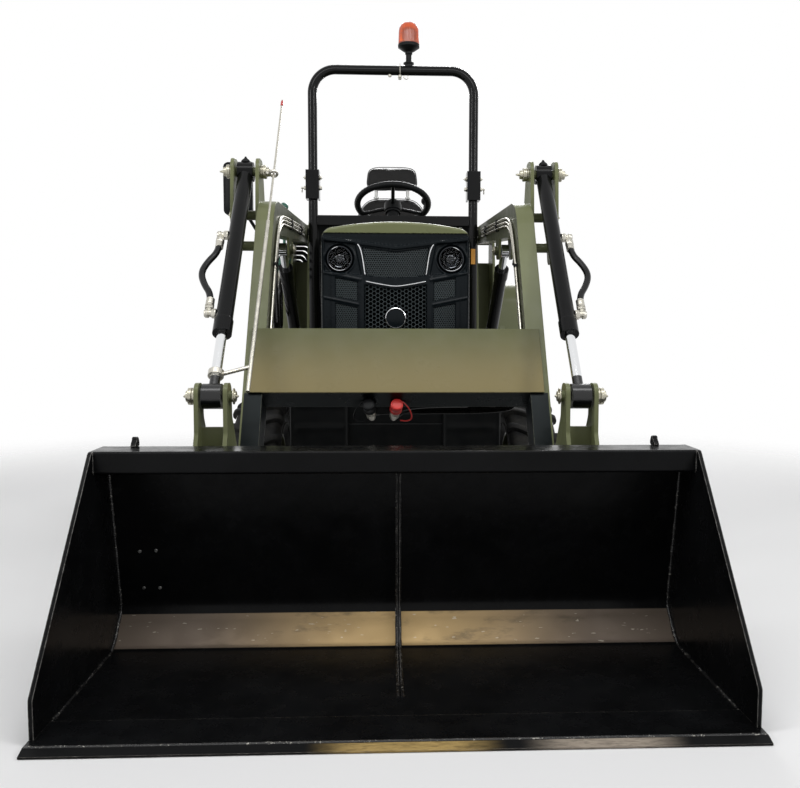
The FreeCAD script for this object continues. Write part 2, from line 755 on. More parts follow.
def platform():
    """The operator's floor over the gearbox, with side flanges."""
    half = platform_half_width
    z1 = platform_z
    floor = block(-half, half, platform_front_y, platform_rear_y, z1 - platform_thickness, z1)
    cut_half = gearbox_width / 2.0 + 3.0
    floor = floor.cut(block(-cut_half, cut_half, platform_front_y - 1.0, platform_rear_y + 1.0,
                            z1 - 20.0, z1 + 20.0))
    pieces = []
    for side in (-1, 1):
        x0 = min(side * cut_half, side * (cut_half + 5.0))
        x_edge = min(side * half, side * (half - 5.0))
        flange = block(x0, x0 + 5.0, platform_front_y, platform_rear_y, z1 - 90.0, z1)
        step = block(x_edge, x_edge + 5.0, platform_front_y, platform_rear_y - 250.0, z1 - 70.0,
                     z1)
        pieces.extend([flange, step])
    tunnel_z = gearbox_top_z + seat_gap
    tunnel = block(-cut_half - 5.0, cut_half + 5.0, platform_front_y, platform_rear_y, tunnel_z,
                   tunnel_z + 5.0)
    for side in (-1, 1):
        x0 = min(side * cut_half, side * (cut_half + 5.0))
        pieces.append(block(x0, x0 + 5.0, platform_front_y, platform_rear_y, z1, tunnel_z + 5.0))
    return join([floor, tunnel] + pieces)


def fender(side):
    """A mudguard round the rear tyre: an arched skin with an inner side wall."""
    reach = rear_tyre_radius + fender_gap
    centre_z = rear_tyre_radius
    front = rear_axle_y - reach
    rear = rear_axle_y + reach
    outer = [(front - fender_wall, platform_z), (front + 130.0, fender_flat_z),
             (rear - 130.0, fender_flat_z), (rear + fender_wall, centre_z + 240.0)]
    skin_top = side_plate(outer, fender_inner_x, fender_outer_x, [0, 130, 130, 0])
    inner = [(front, platform_z - 20.0), (front + 132.0, fender_flat_z - fender_wall),
             (rear - 132.0, fender_flat_z - fender_wall), (rear, centre_z + 220.0)]
    hollow = side_plate(inner, fender_inner_x + fender_wall, fender_outer_x + 5.0,
                        [0, 125, 125, 0])
    foot_z = platform_z + seat_gap
    low = [(front - 20.0, centre_z - 60.0), (front - 20.0, foot_z), (platform_rear_y, foot_z),
           (rear + 20.0, centre_z + 240.0), (rear + 20.0, centre_z - 60.0)]
    skin = skin_top.cut(hollow)
    skin = skin.cut(side_plate(low, fender_inner_x - 5.0, fender_outer_x + 5.0))
    axle_hole = pin_x(rear_axle_y, centre_z, axle_tube_radius + 45.0, fender_inner_x - 20.0,
                      fender_inner_x + 30.0)
    skin = skin.cut(axle_hole)
    shape = skin.removeSplitter()
    if side < 0:
        shape = shape.mirror(V(0, 0, 0), V(1, 0, 0))
    return shape


def seat_back_rear_y(z):
    """Where the rear face of the seat's lower back pad lies at a height."""
    low_z = seat_z + 100.0
    return seat_back_y + seat_back_depth + seat_lean * (z - low_z) / (seat_back_split_z - low_z)


def seat_base():
    """The box under the seat, standing on the rear housing."""
    half = seat_width / 2.0 - 40.0
    y0 = rear_housing_front_y
    box_body = block(-half, half, y0, y0 + 300.0, rear_housing_top_z, seat_z - 20.0)
    pan = block(-seat_width / 2.0 + 15.0, seat_width / 2.0 - 15.0, seat_front_y + 30.0,
                seat_front_y + seat_depth, seat_z - 20.0, seat_z)
    low_y = seat_back_rear_y(seat_z - 20.0) + 0.4
    high_z = seat_z + 420.0
    high_y = seat_back_rear_y(high_z) + 0.4
    brace = side_plate([(low_y, seat_z - 20.0), (low_y + 26.0, seat_z - 20.0),
                        (high_y + 20.0, high_z), (high_y, high_z)], -90.0, 90.0)
    link = block(-90.0, 90.0, seat_front_y + seat_depth - 10.0, low_y + 10.0, seat_z - 20.0,
                 seat_z)
    return join([box_body, pan, brace, link])


def seat_cushion():
    """The seat's cushion, a plain soft block with round corners."""
    half = seat_width / 2.0
    y0 = seat_front_y
    y1 = seat_front_y + seat_depth - 4.0
    return flat_plate([(-half, y0), (half, y0), (half, y1), (-half, y1)], seat_z + 0.3,
                      seat_z + 95.0, 60.0)


def seat_back():
    """The seat's back: a lower pad, two short posts and the head pad, leaning back."""
    depth = seat_back_depth
    low = [(seat_back_y, seat_z + 100.0), (seat_back_y + depth, seat_z + 100.0),
           (seat_back_y + depth + seat_lean, seat_back_split_z),
           (seat_back_y + seat_lean, seat_back_split_z)]
    lower = side_plate(low, -seat_width / 2.0 + 12.0, seat_width / 2.0 - 12.0, 24.0)
    front = seat_back_y + seat_lean
    top = [(front - 4.0, head_pad_low_z), (front + 70.0, head_pad_low_z),
           (front + 82.0, seat_back_top_z), (front + 10.0, seat_back_top_z)]
    upper = side_plate(top, -head_pad_half_width, head_pad_half_width, 24.0)
    posts = [pin_z(x, front + 40.0, 9.0, seat_back_split_z - 30.0, head_pad_low_z + 30.0)
             for x in (-90.0, 90.0)]
    return join([lower, upper] + posts)


# ------------------------------------------------------------------ roll bar
def rops_base():
    """The roll bar's fixed lower posts, their feet, crossbar and hinge brackets."""
    pieces = []
    for side in (-1, 1):
        x = side * rops_half_width
        pieces.append(pin_z(x, rops_y, rops_tube_radius, rops_base_z,
                            rops_hinge_z - rops_post_end))
        foot0 = min(side * (gearbox_width / 2.0), side * (rops_half_width + 20.0))
        foot_length = rops_half_width + 20.0 - gearbox_width / 2.0
        pieces.append(block(foot0, foot0 + foot_length, rops_y - 45.0, rops_y + 45.0,
                            rops_base_z - 16.0, rops_base_z))
        for off in (-rops_tube_radius - 1.5 - hinge_plate, rops_tube_radius + 1.5):
            pieces.append(block(x + off, x + off + hinge_plate, rops_y - rops_bracket_half,
                                rops_y + rops_bracket_half, rops_hinge_z - rops_bracket_low,
                                rops_hinge_z + rops_bracket_high))
        reach = rops_tube_radius + 1.5 + hinge_plate
        pieces.append(block(x - reach, x + reach, rops_y - rops_bracket_half,
                            rops_y + rops_bracket_half, rops_hinge_z - rops_post_end - 10.0,
                            rops_hinge_z - rops_post_end))
        pieces.append(block(x - reach, x + reach, rops_y - rops_bracket_half - rops_bracket_front,
                            rops_y - rops_bracket_half, rops_hinge_z - rops_bracket_low,
                            rops_hinge_z + rops_bracket_high))
        pieces.append(pin_x(rops_y, rops_hinge_z, hinge_pin_radius, x - reach - 3.0,
                            x + reach + 3.0))
        tie0 = min(side * rops_half_width, side * inner_plate_x0)
        pieces.append(block(tie0, tie0 + inner_plate_x0 - rops_half_width, rops_y,
                            pivot_y - 40.0, rops_crossbar_z - 46.0, rops_crossbar_z - 16.0))
    half = rops_crossbar_depth / 2.0
    pieces.append(block(-rops_half_width, rops_half_width, rops_y - half, rops_y + half,
                        rops_crossbar_z, rops_crossbar_z + rops_crossbar_height))
    return join(pieces)


def rops_upper():
    """The roll bar's hoop, which folds back about the hinge pins."""
    points = [V(-rops_half_width, rops_y, rops_hinge_z - 14.0), V(-rops_half_width, rops_y, rops_top_z),
              V(rops_half_width, rops_y, rops_top_z), V(rops_half_width, rops_y, rops_hinge_z - 14.0)]
    hoop = tube_path(points, rops_tube_radius, rops_corner_radius)
    post = block(beacon_x - 18.0, beacon_x + 18.0, rops_y - 16.0, rops_y + 16.0,
                 rops_top_z + rops_tube_radius - 6.0, rops_top_z + rops_tube_radius + 8.0)
    whole = join([hoop, post])
    hole = pin_x(rops_y, rops_hinge_z, hinge_pin_radius + running_gap, -500.0, 500.0)
    return whole.cut(hole)


def beacon():
    """The flashing beacon on its stem."""
    base_z = rops_top_z + rops_tube_radius + 8.0
    cone_z = base_z + beacon_stem
    foot_z = cone_z + beacon_cone
    stem = pin_z(beacon_x, rops_y, 13.0, base_z, cone_z)
    cone = Part.makeCone(22.0, beacon_radius - 4.0, beacon_cone, V(beacon_x, rops_y, cone_z),
                         V(0, 0, 1))
    drum = pin_z(beacon_x, rops_y, beacon_radius, foot_z, beacon_top_z - 18.0)
    cap = Part.makeCone(beacon_radius, beacon_radius - 16.0, 18.0,
                        V(beacon_x, rops_y, beacon_top_z - 18.0), V(0, 0, 1))
    return join([stem, cone, drum, cap])


# ------------------------------------------------------------------ loader
def tower(side):
    """One loader tower: two plates, the boom's pivot pin and the lift cylinder's pin."""
    outline = [(lift_base_y - 60.0, 560.0), (tower_rear_y, 560.0), (tower_rear_y, pivot_z + 20.0),
               (pivot_y + 40.0, pivot_z + 66.0), (pivot_y - 40.0, pivot_z + 66.0),
               (pivot_y - 95.0, pivot_z - 60.0), (lift_base_y - 60.0, lift_base_z + 90.0)]
    radii = [0.0, 0.0, 30.0, 36.0, 36.0, 90.0, 40.0]
    inner = side_plate(outline, inner_plate_x0, inner_plate_x1, radii)
    outer = side_plate(outline, outer_plate_x0, outer_plate_x1, radii)
    web = block(inner_plate_x0, outer_plate_x1, tower_rear_y - 12.0, tower_rear_y, 560.0,
                pivot_z - 130.0)
    foot = block(inner_plate_x0, outer_plate_x1, lift_base_y - 60.0, tower_rear_y, 560.0, 590.0)
    pivot = pin_x(pivot_y, pivot_z, pivot_pin_radius, inner_plate_x0 - 10.0, outer_plate_x1 + 14.0)
    lift_pin = pin_x(lift_base_y, lift_base_z, lift_pin_radius, inner_plate_x0 - 8.0,
                     outer_plate_x1 + 12.0)
    shape = join([inner, outer, web, foot, pivot, lift_pin])
    if side < 0:
        shape = shape.mirror(V(0, 0, 0), V(1, 0, 0))
    return shape


def loader_frame():
    """The loader's subframe: cross arms from the gearbox to the towers."""
    pieces = []
    top = 560.0
    for side in (-1, 1):
        x0 = min(side * gearbox_width / 2.0, side * outer_plate_x1)
        length = outer_plate_x1 - gearbox_width / 2.0
        pieces.append(block(x0, x0 + length, lift_base_y + 60.0, lift_base_y + 140.0,
                            top - 100.0, top))
        pad0 = min(side * gearbox_width / 2.0, side * (gearbox_width / 2.0 + 16.0))
        pieces.append(block(pad0, pad0 + 16.0, engine_rear_y + 40.0, lift_base_y + 140.0,
                            gearbox_bottom_z + 10.0, top))
    return Part.makeCompound([join(pieces[0:2]), join(pieces[2:4])])


def boom_arm(side):
    """One boom arm: a level rear beam, the knee and the leg down to the bucket."""
    path = [(pivot_y, pivot_z), (knee_y, knee_z), (bucket_pin_y, bucket_pin_z)]
    half = arm_depth / 2.0
    points, radii = band_outline(path, [arm_rear_depth / 2.0, half, arm_tip_depth / 2.0],
                                 [0.0, 110.0, 0.0])
    beam = side_plate(points, arm_inner_x, arm_outer_x, radii)
    rear_boss = pin_x(pivot_y, pivot_z, arm_rear_boss, arm_inner_x, arm_outer_x)
    front_boss = pin_x(bucket_pin_y, bucket_pin_z, arm_tip_depth / 2.0, arm_inner_x, arm_outer_x)
    knee_plate = [(tilt_base_y - 48.0, tilt_base_z + 44.0), (tilt_base_y + 48.0, tilt_base_z + 44.0),
                  (tilt_base_y + 116.0, knee_z - 20.0), (tilt_base_y + 70.0, knee_z - 150.0),
                  (tilt_base_y - 60.0, knee_z - 150.0), (tilt_base_y - 64.0, knee_z + 10.0)]
    knee_radii = [40.0, 40.0, 40.0, 30.0, 30.0, 60.0]
    inner_knee = side_plate(knee_plate, arm_outer_x, arm_outer_x + ear_plate, knee_radii)
    outer_knee = side_plate(knee_plate, tilt_outer_ear_x0, tilt_outer_ear_x1, knee_radii)
    tilt_pin = pin_x(tilt_base_y, tilt_base_z, tilt_pin_radius, arm_outer_x - 14.0,
                     tilt_outer_ear_x1 + 14.0)
    ties = []
    for y, z in ((tilt_base_y + 40.0, knee_z + 18.0), (tilt_base_y + 22.0, knee_z - 92.0)):
        ties.append(pin_x(y, z, 17.0, arm_outer_x, tilt_outer_ear_x1 + 12.0))
    lug_outline = [(lift_eye_y - 70.0, lift_eye_z + 70.0), (lift_eye_y - 32.0, lift_eye_z - 34.0),
                   (lift_eye_y + 32.0, lift_eye_z - 34.0), (lift_eye_y + 70.0, lift_eye_z + 70.0)]
    lugs = []
    for x0 in (arm_inner_x, arm_outer_x - lug_plate):
        lugs.append(side_plate(lug_outline, x0, x0 + lug_plate, [0, 30, 30, 0]))
        head0 = x0 - 12.0 if x0 == arm_inner_x else x0 + lug_plate
        lugs.append(pin_x(lift_eye_y, lift_eye_z, lift_pin_radius, min(x0, head0),
                          max(x0 + lug_plate, head0 + 12.0)))
    arm = join([beam, rear_boss, front_boss, inner_knee, outer_knee, tilt_pin] + ties + lugs)
    arm = arm.cut(pin_x(pivot_y, pivot_z, pivot_pin_radius + running_gap, arm_inner_x - 5.0,
                        arm_outer_x + 5.0))
    arm = arm.cut(pin_x(bucket_pin_y, bucket_pin_z, bucket_pin_radius + running_gap,
                        arm_inner_x - 5.0, arm_outer_x + 5.0))
    if side < 0:
        arm = arm.mirror(V(0, 0, 0), V(1, 0, 0))
    return arm


def leg_front_y(z):
    """Where the front face of the boom's leg lies at a height."""
    down = V(0, bucket_pin_y - knee_y, bucket_pin_z - knee_z).normalize()
    share = (knee_z - z) / (knee_z - bucket_pin_z)
    middle_y = knee_y + (bucket_pin_y - knee_y) * share
    depth = (arm_depth + (arm_tip_depth - arm_depth) * share) / 2.0
    return middle_y - depth / abs(down.z)


def crossbeam():
    """The plate across the front of the two legs, with a tube between the arms behind it."""
    top_y = leg_front_y(crossbeam_top_z)
    low_y = leg_front_y(crossbeam_bottom_z)
    outline = [(top_y, crossbeam_top_z), (low_y, crossbeam_bottom_z),
               (low_y - crossbeam_plate, crossbeam_bottom_z), (top_y - crossbeam_plate, crossbeam_top_z)]
    plate = side_plate(outline, -crossbeam_half_width, crossbeam_half_width)
    low_lip = [(low_y, crossbeam_bottom_z), (low_y - crossbeam_plate, crossbeam_bottom_z),
               (low_y + 50.0, crossbeam_bottom_z - 50.0), (low_y + 62.0, crossbeam_bottom_z - 46.0)]
    lip = side_plate(low_lip, -arm_inner_x, arm_inner_x)
    tube_z = (crossbeam_top_z + crossbeam_bottom_z) / 2.0
    tube_y = leg_front_y(tube_z) + crossbeam_tube_radius + 4.0
    tube = pin_x(tube_y, tube_z, crossbeam_tube_radius, -arm_inner_x, arm_inner_x)
    web = block(-arm_inner_x, arm_inner_x, leg_front_y(tube_z) - 2.0, tube_y, tube_z - 6.0,
                tube_z + 6.0)
    return join([plate, lip, tube, web])


def cylinder_barrel(base, eye, radius, eye_width, open_length, pin_radius, base_radius, mouth):
    """A hydraulic cylinder's barrel: the base eye, the tube and the gland at its mouth."""
    line = (eye - base)
    length = line.Length - open_length
    axis = line.normalize()
    start = base + axis * (base_radius * 0.8)
    tube = Part.makeCylinder(radius, length - base_radius * 0.8, start, axis)
    gland = Part.makeCylinder(radius + gland_step, 52.0, base + axis * (length - 52.0), axis)
    base_eye = pin_x(base.y, base.z, base_radius, base.x - eye_width / 2.0, base.x + eye_width / 2.0)
    whole = join([tube, gland, base_eye])
    floor = base_radius + 26.0
    cavity = Part.makeCylinder(radius - barrel_wall, length - floor - 40.0, base + axis * floor, axis)
    throat = Part.makeCylinder(mouth + running_gap, 60.0, base + axis * (length - 55.0), axis)
    hole = pin_x(base.y, base.z, pin_radius + running_gap, base.x - 60.0, base.x + 60.0)
    return whole.cut(cavity).cut(throat).cut(hole)


def cylinder_rod(base, eye, rod_radius, rod_length, eye_radius, eye_width, pin_radius):
    """A hydraulic cylinder's rod with the eye at its end."""
    axis = (base - eye).normalize()
    rod = Part.makeCylinder(rod_radius, rod_length, eye + axis * (eye_radius * 0.6), axis)
    ring = pin_x(eye.y, eye.z, eye_radius, eye.x - eye_width / 2.0, eye.x + eye_width / 2.0)
    hole = pin_x(eye.y, eye.z, pin_radius + 0.5, eye.x - 60.0, eye.x + 60.0)
    return join([rod, ring]).cut(hole)


def tilt_barrels():
    """The two tilt cylinders' barrels."""
    one = cylinder_barrel(tilt_base, tilt_eye, tilt_barrel_radius, tilt_eye_width,
                          tilt_open_length, tilt_pin_radius, 34.0, tilt_rod_radius)
    axis = (tilt_eye - tilt_base).normalize()
    middle = tilt_barrel_radius + hose_port_height
    for along, turn in ((hose_port_high, 1.0), (hose_lower_port, -1.0)):
        root = tilt_base + axis * along
        elbow = root + V(middle, 0, 0)
        stub = bar(root + V(tilt_barrel_radius - 4.0, 0, 0), elbow, 11.0)
        leg = bar(elbow, elbow + axis * (turn * hose_elbow_reach), 11.0)
        one = join([one, stub, Part.makeSphere(11.0, elbow), leg])
    return Part.makeCompound(both_sides(one))


def tilt_rods():
    """The two tilt cylinders' rods."""
    one = cylinder_rod(tilt_base, tilt_eye, tilt_rod_radius, tilt_rod_length, tilt_eye_radius,
                       tilt_eye_width, tilt_pin_radius)
    return Part.makeCompound(both_sides(one))


def level_rod():
    """The bucket level rod beside the right arm, clamped to the tilt rod."""
    axis = (tilt_base - tilt_eye).normalize()
    line = V(level_rod_x, tilt_eye_y - axis.z * level_rod_rise, tilt_eye_z + axis.y * level_rod_rise)
    low = line - axis * 10.0
    high = line + axis * 1350.0
    rod = bar(low, low + axis * 700.0, level_rod_radius)
    whip = bar(low + axis * 690.0, high, level_rod_radius * 0.6)
    clamp = V(-cylinder_x, tilt_eye_y, tilt_eye_z) + axis * level_clamp
    ring = Part.makeCylinder(tilt_rod_radius + 8.0, 18.0, clamp - axis * 9.0, axis)
    ring = ring.cut(Part.makeCylinder(tilt_rod_radius + running_gap, 30.0, clamp - axis * 15.0, axis))
    arm = bar(clamp + V(tilt_rod_radius + 4.0, 0, 0), line + axis * level_clamp, 6.0)
    return join([rod, whip, ring, arm])


def lift_barrels():
    """The two lift cylinders' barrels."""
    one = cylinder_barrel(lift_base, lift_eye, lift_barrel_radius, lift_base_width,
                          lift_open_length,
                          lift_pin_radius, 34.0, lift_rod_radius)
    return Part.makeCompound(both_sides(one))


def lift_rods():
    """The two lift cylinders' rods."""
    one = cylinder_rod(lift_base, lift_eye, lift_rod_radius, lift_rod_length, lift_eye_radius,
                       lift_eye_width, lift_pin_radius)
    return Part.makeCompound(both_sides(one))


def tilt_hose(side):
    """A hose that bows outwards between the two elbows of a tilt barrel."""
    axis = (tilt_eye - tilt_base).normalize()
    out = V(1, 0, 0)
    start = tilt_base + axis * (hose_port_high + hose_elbow_reach)
    start = start + out * (tilt_barrel_radius + hose_port_height)
    points = [start + out * reach + axis * along for reach, along in hose_bow]
    if side < 0:
        points = [V(-p.x, p.y, p.z) for p in points]
    return hose_path(points, hose_radius)


# ------------------------------------------------------------------ bucket
def back_y(z):
    """Where the bucket's back lies at a height, on its outer side."""
    share = (z - bucket_back_low_z) / (bucket_rail_bottom_z - bucket_back_low_z)
    return bucket_back_low_y + (bucket_back_top_y - bucket_back_low_y) * share


def bucket_shell():
    """The bucket: floor, heel and back in one bent skin, two side plates and the top rail."""
    ground = bucket_ground_gap
    t = bucket_skin
    half = bucket_half_width
    outer = [(bucket_lip_y + cutting_edge_step, ground), (bucket_heel_y, ground),
             (bucket_back_low_y, bucket_back_low_z),
             (back_y(bucket_rail_bottom_z + 20.0), bucket_rail_bottom_z + 20.0)]
    inner = inner_side(outer, t)
    skin = side_plate(outer + list(reversed(inner)), -half, half,
                      [0, 40.0 + t, 60.0 + t, 0, 0, 60.0, 40.0, 0])
    rail = [(bucket_rail_front_y, bucket_rail_bottom_z), (bucket_rail_front_y, bucket_top_z),
            (bucket_back_top_y - 10.0, bucket_top_z), (bucket_back_top_y - 10.0, bucket_rail_bottom_z)]
    rail_box = side_plate(rail, -half, half, [8, 8, 8, 0])
    side_outline = [(bucket_side_front_y, ground), (bucket_side_front_y, bucket_side_step_z),
                    (bucket_rail_front_y - 6.0, bucket_top_z), (bucket_back_top_y - 6.0, bucket_top_z),
                    (bucket_back_low_y, bucket_back_low_z), (bucket_heel_y, ground)]
    sides = []
    for x0 in (-half, half - bucket_side_plate):
        sides.append(side_plate(side_outline, x0, x0 + bucket_side_plate, [0, 14, 20, 10, 40, 30]))
    h = bucket_rib_height
    rib_path = [(bucket_side_front_y + 180.0, ground + t / 2.0), (bucket_heel_y - 30.0, ground + t / 2.0),
                (bucket_back_low_y - 22.0, bucket_back_low_z + 10.0),
                (back_y(bucket_rail_bottom_z) - h / 2.0 - 2.0, bucket_rail_bottom_z + 2.0)]
    rib_points, rib_radii = band_outline(rib_path, [2.0, h / 2.0, h / 2.0, h / 2.0],
                                         [0.0, 60.0, 60.0, 0.0])
    rib = side_plate(rib_points, -bucket_rib_thickness / 2.0, bucket_rib_thickness / 2.0, rib_radii)
    below = block(-50.0, 50.0, -3000.0, 0.0, -200.0, ground)
    rib = rib.cut(below)
    return join([skin, rail_box, rib] + sides)


def cutting_edge():
    """The hard steel edge along the bucket's lip, bevelled to the front."""
    ground = bucket_ground_gap
    top = ground + bucket_skin
    y0 = bucket_lip_y
    step = cutting_edge_step
    outline = [(y0, ground), (y0 + step, ground), (y0 + step, top), (y0 + cutting_edge_depth, top),
               (y0 + cutting_edge_depth, top + 5.0), (y0 + 24.0, top + 5.0), (y0, ground + 4.0)]
    half = bucket_half_width
    edge = side_plate(outline, -half, half)
    for side in (-1, 1):
        x0 = min(side * (half - bucket_side_plate - 0.5), side * (half + 5.0))
        x1 = x0 + bucket_side_plate + 5.5
        edge = edge.cut(block(x0, x1, bucket_side_front_y - seat_gap, 0.0, -10.0, 100.0))
    return edge


def carrier_y(z):
    """Where the carrier's front face lies at a height, just behind the bucket's back."""
    return back_y(z) + seat_gap


def bucket_carrier():
    """The plates behind the bucket that take the arms' tips and the tilt rods' eyes."""
    pieces = []
    low_z = carrier_plate_low_z
    high_z = bucket_rail_bottom_z - 10.0
    pin_ear = [(carrier_y(low_z), low_z), (carrier_y(high_z), high_z),
               (bucket_pin_y + 10.0, bucket_pin_z + 58.0), (bucket_pin_y + 56.0, bucket_pin_z + 8.0),
               (bucket_pin_y + 30.0, bucket_pin_z - 60.0), (carrier_y(low_z) + 60.0, low_z)]
    pin_radii = [0, 0, 40, 30, 40, 20]
    tilt_ear = [(carrier_y(low_z), low_z), (carrier_y(high_z), high_z),
                (tilt_eye_y - 38.0, bucket_top_z + 24.0), (tilt_eye_y - 36.0, tilt_eye_z + 38.0),
                (tilt_eye_y + 36.0, tilt_eye_z + 38.0), (tilt_eye_y + 40.0, tilt_eye_z - 60.0),
                (bucket_pin_y + 52.0, bucket_pin_z + 40.0), (bucket_pin_y + 30.0, bucket_pin_z - 60.0),
                (carrier_y(low_z) + 60.0, low_z)]
    tilt_radii = [0, 0, 20, 30, 30, 30, 40, 40, 20]
    for side in (-1, 1):
        plates = [
            side_plate(pin_ear, inner_plate_x0, inner_plate_x1, pin_radii),
            side_plate(tilt_ear, outer_plate_x0, outer_plate_x1, tilt_radii),
            side_plate(tilt_ear, tilt_outer_ear_x0, tilt_outer_ear_x1, tilt_radii),
            pin_x(bucket_pin_y, bucket_pin_z, bucket_pin_radius, inner_plate_x0 - 12.0,
                  outer_plate_x1),
            pin_x(tilt_eye_y, tilt_eye_z, tilt_pin_radius, outer_plate_x0 - 12.0, outer_plate_x1),
            pin_x(tilt_eye_y, tilt_eye_z, tilt_pin_radius, tilt_outer_ear_x0,
                  tilt_outer_ear_x1 + 18.0),
        ]
        strip = [(carrier_y(carrier_strip_low_z), carrier_strip_low_z), (carrier_y(high_z), high_z),
                 (carrier_y(high_z) + carrier_strip, high_z),
                 (carrier_y(carrier_strip_low_z) + carrier_strip, carrier_strip_low_z)]
        plates.append(side_plate(strip, outer_plate_x0, tilt_outer_ear_x1))
        plates.append(block(outer_plate_x1 - 1.0, tilt_outer_ear_x0 + 1.0, carrier_web_y,
                            carrier_web_y + carrier_strip, carrier_web_low_z, carrier_web_high))
        shape = join(plates)
        if side < 0:
            shape = shape.mirror(V(0, 0, 0), V(1, 0, 0))
        pieces.append(shape)
    low = carrier_rail_low_z
    high = low + carrier_rail_height
    rail = [(carrier_y(low), low), (carrier_y(high), high), (carrier_y(high) + carrier_rail_depth, high),
            (carrier_y(low) + carrier_rail_depth, low)]
    pieces.append(side_plate(rail, -inner_plate_x0, inner_plate_x0, [0, 0, 8, 8]))
    return join(pieces)


# ------------------------------------------------------------------ rear linkage and the rest
def lower_link_z(y):
    """The height of a lower link's middle line at a place along it."""
    share = (y - link_pivot_y) / (link_end_y - link_pivot_y)
    return link_pivot_z + (link_end_z - link_pivot_z) * share


def lower_links():
    """The two lower links, from their front pivots to the balls at their ends."""
    links = []
    for side in (-1, 1):
        bend_y = lift_arm_end.y - 60.0
        points = [(link_pivot_x - 8.0, link_pivot_y), (link_pivot_x + 8.0, link_pivot_y),
                  (link_end_x + 8.0, bend_y), (link_end_x + 8.0, link_end_y),
                  (link_end_x - 8.0, link_end_y), (link_end_x - 8.0, bend_y)]
        plan = flat_plate([(side * x, y) for x, y in points], link_pivot_z - 100.0,
                          link_end_z + 100.0)
        half = link_bar_depth / 2.0
        band = side_plate([(link_pivot_y - 10.0, link_pivot_z - half), (link_end_y, link_end_z - half),
                           (link_end_y, link_end_z + half), (link_pivot_y - 10.0, link_pivot_z + half)],
                          -500.0, 500.0, [20, 25, 25, 20])
        link = plan.common(band)
        eye = pin_x(link_pivot_y, link_pivot_z, 32.0, side * link_pivot_x - 14.0,
                    side * link_pivot_x + 14.0)
        ball = pin_x(link_end_y, link_end_z, link_ball_radius + 10.0, side * link_end_x - 12.0,
                     side * link_end_x + 12.0)
        link = join([link, eye, ball])
        link = link.cut(pin_x(link_pivot_y, link_pivot_z, 12.0 + running_gap,
                              side * link_pivot_x - 40.0, side * link_pivot_x + 40.0))
        link = link.cut(pin_x(link_end_y, link_end_z, link_bore_radius, side * link_end_x - 40.0,
                              side * link_end_x + 40.0))
        links.append(link)
    return Part.makeCompound(links)


def link_brackets():
    """The pins and plates under the rear housing that carry the lower links."""
    pieces = []
    half = rear_housing_width / 2.0
    for side in (-1, 1):
        x0 = min(side * (half - 40.0), side * (link_pivot_x + 18.0))
        length = link_pivot_x + 18.0 - (half - 40.0)
        pieces.append(pin_x(link_pivot_y, link_pivot_z, 12.0, x0, x0 + length))
    return pieces


def lift_arms():
    """The rear lift shaft with its two arms."""
    end = lift_arm_end
    pieces = [pin_x(lift_shaft_y, lift_shaft_z, lift_shaft_radius, -lift_arm_x - 12.0,
                    lift_arm_x + 12.0)]
    for side in (-1, 1):
        points, radii = band_outline([(lift_shaft_y, lift_shaft_z), (end.y, end.z)],
                                     [36.0, 22.0], [0.0, 0.0])
        x0 = side * lift_arm_x - 10.0
        pieces.append(side_plate(points, x0, x0 + 20.0, radii))
        pieces.append(pin_x(lift_shaft_y, lift_shaft_z, 40.0, x0, x0 + 20.0))
        pieces.append(pin_x(end.y, end.z, 22.0, x0, x0 + 20.0))
        stub0 = min(side * lift_arm_x, side * (lift_arm_x + 36.0))
        pieces.append(pin_x(end.y, end.z, 9.0, stub0, stub0 + 36.0))
    return join(pieces)


def lift_links():
    """The two rods that hang the lower links from the lift arms."""
    rods = []
    for side in (-1, 1):
        top_x = side * (lift_arm_x + 23.0)
        low_x = side * (link_end_x - link_bar_width / 2.0 - 13.0)
        top = V(top_x, lift_arm_end.y, lift_arm_end.z)
        low = V(low_x, lift_arm_end.y, lower_link_z(lift_arm_end.y))
        rod = bar(top, low, lift_link_radius)
        top_eye = pin_x(top.y, top.z, 20.0, top_x - 8.0, top_x + 8.0)
        low_eye = pin_x(low.y, low.z, 18.0, low_x - 8.0, low_x + 8.0)
        body = join([rod, top_eye, low_eye])
        rods.append(body.cut(pin_x(top.y, top.z, 9.0 + running_gap, top_x - 30.0, top_x + 30.0)))
    return Part.makeCompound(rods)


def drawbar():
    """The drawbar under the rear housing, with its pin hole."""
    bar_body = block(-35.0, 35.0, rear_housing_front_y + 60.0, drawbar_end_y, drawbar_z - 12.0,
                     drawbar_z + 12.0)
    hanger = block(-60.0, 60.0, rear_housing_rear_y - 60.0, rear_housing_rear_y - 20.0,
                   drawbar_z + 12.0, gearbox_bottom_z - 30.0)
    front_hanger = block(-45.0, 45.0, rear_housing_front_y + 60.0, rear_housing_front_y + 110.0,
                         drawbar_z + 12.0, gearbox_bottom_z - 30.0)
    hole = pin_z(0.0, drawbar_end_y - 40.0, drawbar_bore_radius, drawbar_z - 30.0, drawbar_z + 30.0)
    return join([bar_body, hanger, front_hanger]).cut(hole)


def pto_shaft():
    """The rear drive shaft's stub."""
    return pin_y(0.0, pto_z, pto_radius, pto_y - 55.0, pto_y + pto_length)


def valve_block():
    """The loader's valve block on the right tower's outer side, with its lever."""
    x1 = -outer_plate_x1
    middle = x1 - valve_width / 2.0
    body = block(x1 - valve_width, x1, valve_y, valve_y + valve_length, valve_z,
                 valve_z + valve_height)
    low = V(middle, valve_y + valve_length / 2.0, valve_z + valve_height - 2.0)
    high = low + V(-10.0, 90.0, 190.0)
    lever = bar(low, high, 7.0)
    knob = Part.makeSphere(21.0, high + V(0, 0, 8.0))
    return join([body, lever, knob])


